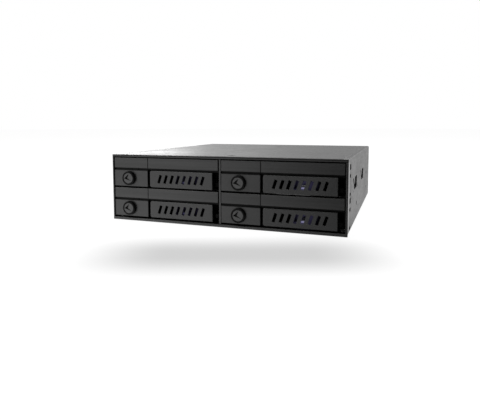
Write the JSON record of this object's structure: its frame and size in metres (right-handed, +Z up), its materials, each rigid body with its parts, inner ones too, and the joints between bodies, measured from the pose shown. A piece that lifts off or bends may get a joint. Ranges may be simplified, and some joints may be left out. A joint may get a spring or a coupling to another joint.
{
  "type": "hot swap drive cage",
  "caption": "Half-height bay cage with lever-fronted hot swap trays for 2.5 inch drives, each with a push-to-release lock, a backplane and rear fans.",
  "frame": {"origin": "middle of the underside of the whole cage", "axes": "+Z up, -Y out of the front where the trays are pulled, +X to the right seen from the front"},
  "size_m": [0.146, 0.1616, 0.0413],
  "materials": {
    "zinc_steel": "zinc plated, fine grain",
    "frame_plastic": "black, fine matte",
    "front_plastic": "charcoal, finely brushed",
    "lever_plastic": "charcoal, fine texture",
    "button_plastic": "black satin",
    "lock_metal": "dark satin",
    "pan_steel": "black satin",
    "guide_plastic": "black",
    "pin_steel": "bright",
    "spring_steel": "bright wire",
    "screw_steel": "zinc plated",
    "black_screw": "black oxide",
    "circuit_board": "green solder mask",
    "port_plastic": "black",
    "fan_plastic": "black satin",
    "lead_sheath": "black sheath",
    "clear_plastic": "clear, lit by the status light"
  },
  "bodies": {
    "cage": {"base_pan": "zinc_steel", "top_cover": "zinc_steel", "rear_panel": "zinc_steel", "centre_wall": "zinc_steel", "bezel_frame": "frame_plastic", "centre_guide": "guide_plastic", "backplane_board": "circuit_board", "data_port_block": "port_plastic", "shell_screws": "black_screw", "fan_screws": "black_screw", "board_screws": "screw_steel", "fan_leads": "lead_sheath", "upper_guide_left": "guide_plastic", "power_port_left": "port_plastic", "fan_frame_left": "fan_plastic", "drive_socket_lower_left": "port_plastic", "drive_socket_upper_left": "port_plastic", "upper_guide_right": "guide_plastic", "power_port_right": "port_plastic", "fan_frame_right": "fan_plastic", "drive_socket_lower_right": "port_plastic", "drive_socket_upper_right": "port_plastic"},
    "fan_rotor_left": {"fan_rotor_left": "fan_plastic"},
    "fan_rotor_right": {"fan_rotor_right": "fan_plastic"},
    "tray_lower_left": {"tray_pan_lower_left": "pan_steel", "tray_front_lower_left": "front_plastic", "hinge_pin_lower_left": "pin_steel", "lever_spring_lower_left": "spring_steel", "button_spring_lower_left": "spring_steel", "light_guide_lower_left": "clear_plastic"},
    "lever_lower_left": {"lever_lower_left": "lever_plastic"},
    "button_lower_left": {"release_button_lower_left": "button_plastic"},
    "lock_lower_left": {"lock_core_lower_left": "lock_metal"},
    "tray_lower_right": {"tray_pan_lower_right": "pan_steel", "tray_front_lower_right": "front_plastic", "hinge_pin_lower_right": "pin_steel", "lever_spring_lower_right": "spring_steel", "button_spring_lower_right": "spring_steel", "light_guide_lower_right": "clear_plastic"},
    "lever_lower_right": {"lever_lower_right": "lever_plastic"},
    "button_lower_right": {"release_button_lower_right": "button_plastic"},
    "lock_lower_right": {"lock_core_lower_right": "lock_metal"},
    "tray_upper_left": {"tray_pan_upper_left": "pan_steel", "tray_front_upper_left": "front_plastic", "hinge_pin_upper_left": "pin_steel", "lever_spring_upper_left": "spring_steel", "button_spring_upper_left": "spring_steel", "light_guide_upper_left": "clear_plastic"},
    "lever_upper_left": {"lever_upper_left": "lever_plastic"},
    "button_upper_left": {"release_button_upper_left": "button_plastic"},
    "lock_upper_left": {"lock_core_upper_left": "lock_metal"},
    "tray_upper_right": {"tray_pan_upper_right": "pan_steel", "tray_front_upper_right": "front_plastic", "hinge_pin_upper_right": "pin_steel", "lever_spring_upper_right": "spring_steel", "button_spring_upper_right": "spring_steel", "light_guide_upper_right": "clear_plastic"},
    "lever_upper_right": {"lever_upper_right": "lever_plastic"},
    "button_upper_right": {"release_button_upper_right": "button_plastic"},
    "lock_upper_right": {"lock_core_upper_right": "lock_metal"}
  },
  "joints": [
    {"name": "tray_slide_lower_left", "type": "slide", "parent": "cage", "child": "tray_lower_left", "axis": [0, -1, 0], "range_m": [0, 0.125]},
    {"name": "lever_hinge_lower_left", "type": "hinge", "parent": "tray_lower_left", "child": "lever_lower_left", "pos_m": [-0.00705, -0.0738, 0.00785], "axis": [0, 0, 1], "range_deg": [0, 78]},
    {"name": "button_press_lower_left", "type": "slide", "parent": "tray_lower_left", "child": "button_lower_left", "axis": [0, 1, 0], "range_m": [0, 0.0015], "stiffness_N_per_m": 800, "springref_m": -0.0005},
    {"name": "lock_turn_lower_left", "type": "hinge", "parent": "button_lower_left", "child": "lock_lower_left", "pos_m": [-0.06075, -0.0792, 0.00785], "axis": [0, 1, 0], "range_deg": [0, 90]},
    {"name": "tray_slide_lower_right", "type": "slide", "parent": "cage", "child": "tray_lower_right", "axis": [0, -1, 0], "range_m": [0, 0.125]},
    {"name": "lever_hinge_lower_right", "type": "hinge", "parent": "tray_lower_right", "child": "lever_lower_right", "pos_m": [0.06545, -0.0738, 0.00785], "axis": [0, 0, 1], "range_deg": [0, 78]},
    {"name": "button_press_lower_right", "type": "slide", "parent": "tray_lower_right", "child": "button_lower_right", "axis": [0, 1, 0], "range_m": [0, 0.0015], "stiffness_N_per_m": 800, "springref_m": -0.0005},
    {"name": "lock_turn_lower_right", "type": "hinge", "parent": "button_lower_right", "child": "lock_lower_right", "pos_m": [0.01175, -0.0792, 0.00785], "axis": [0, 1, 0], "range_deg": [0, 90]},
    {"name": "tray_slide_upper_left", "type": "slide", "parent": "cage", "child": "tray_upper_left", "axis": [0, -1, 0], "range_m": [0, 0.125]},
    {"name": "lever_hinge_upper_left", "type": "hinge", "parent": "tray_upper_left", "child": "lever_upper_left", "pos_m": [-0.00705, -0.0738, 0.02665], "axis": [0, 0, 1], "range_deg": [0, 78]},
    {"name": "button_press_upper_left", "type": "slide", "parent": "tray_upper_left", "child": "button_upper_left", "axis": [0, 1, 0], "range_m": [0, 0.0015], "stiffness_N_per_m": 800, "springref_m": -0.0005},
    {"name": "lock_turn_upper_left", "type": "hinge", "parent": "button_upper_left", "child": "lock_upper_left", "pos_m": [-0.06075, -0.0792, 0.02665], "axis": [0, 1, 0], "range_deg": [0, 90]},
    {"name": "tray_slide_upper_right", "type": "slide", "parent": "cage", "child": "tray_upper_right", "axis": [0, -1, 0], "range_m": [0, 0.125]},
    {"name": "lever_hinge_upper_right", "type": "hinge", "parent": "tray_upper_right", "child": "lever_upper_right", "pos_m": [0.06545, -0.0738, 0.02665], "axis": [0, 0, 1], "range_deg": [0, 78]},
    {"name": "button_press_upper_right", "type": "slide", "parent": "tray_upper_right", "child": "button_upper_right", "axis": [0, 1, 0], "range_m": [0, 0.0015], "stiffness_N_per_m": 800, "springref_m": -0.0005},
    {"name": "lock_turn_upper_right", "type": "hinge", "parent": "button_upper_right", "child": "lock_upper_right", "pos_m": [0.01175, -0.0792, 0.02665], "axis": [0, 1, 0], "range_deg": [0, 90]},
    {"name": "fan_spin_left", "type": "hinge", "parent": "cage", "child": "fan_rotor_left", "pos_m": [-0.046, 0.0708, 0.02025], "axis": [0, 1, 0], "continuous": true},
    {"name": "fan_spin_right", "type": "hinge", "parent": "cage", "child": "fan_rotor_right", "pos_m": [0.046, 0.0708, 0.02025], "axis": [0, 1, 0], "continuous": true}
  ]
}
